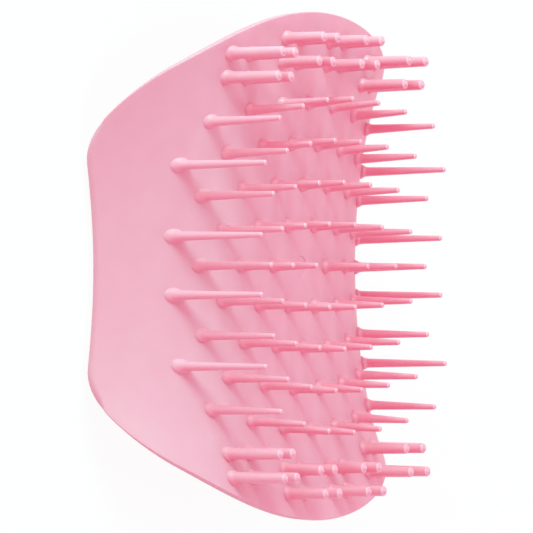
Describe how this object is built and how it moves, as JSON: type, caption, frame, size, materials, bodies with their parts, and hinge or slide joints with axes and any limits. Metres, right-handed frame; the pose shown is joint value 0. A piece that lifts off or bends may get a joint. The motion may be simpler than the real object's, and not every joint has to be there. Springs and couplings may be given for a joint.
{
  "type": "scalp massager brush",
  "caption": "Saddle-shaped palm brush in two nested pink shells with fine tapered teeth and clusters of blunt massage teeth at both ends.",
  "frame": {"origin": "centre of the plan outline, on the plane that the lower edges of the two wings rest on", "axes": "+X across the hand from wing to wing, +Y along the hand from end to end, +Z out through the teeth towards the scalp"},
  "size_m": [0.0826, 0.096, 0.0343],
  "materials": {
    "plate_plastic": "satin moulded pink thermoplastic with a fine spark-eroded grain",
    "cover_plastic": "satin moulded pink thermoplastic, smooth towards the palm",
    "tooth_plastic": "satin moulded pink thermoplastic, slightly translucent, tips polished"
  },
  "bodies": {
    "root": {"tooth_plate": "plate_plastic", "palm_cover": "cover_plastic", "fine_teeth_row_1": "tooth_plastic", "fine_teeth_row_2": "tooth_plastic", "fine_teeth_row_3": "tooth_plastic", "fine_teeth_row_4": "tooth_plastic", "fine_teeth_row_5": "tooth_plastic", "fine_teeth_row_6": "tooth_plastic", "fine_teeth_row_7": "tooth_plastic", "fine_teeth_row_8": "tooth_plastic", "fine_teeth_row_9": "tooth_plastic", "massage_teeth_1": "tooth_plastic", "massage_teeth_2": "tooth_plastic", "massage_teeth_3": "tooth_plastic", "massage_teeth_4": "tooth_plastic", "massage_teeth_5": "tooth_plastic", "massage_teeth_6": "tooth_plastic", "massage_teeth_7": "tooth_plastic", "massage_teeth_8": "tooth_plastic"}
  },
  "joints": []
}
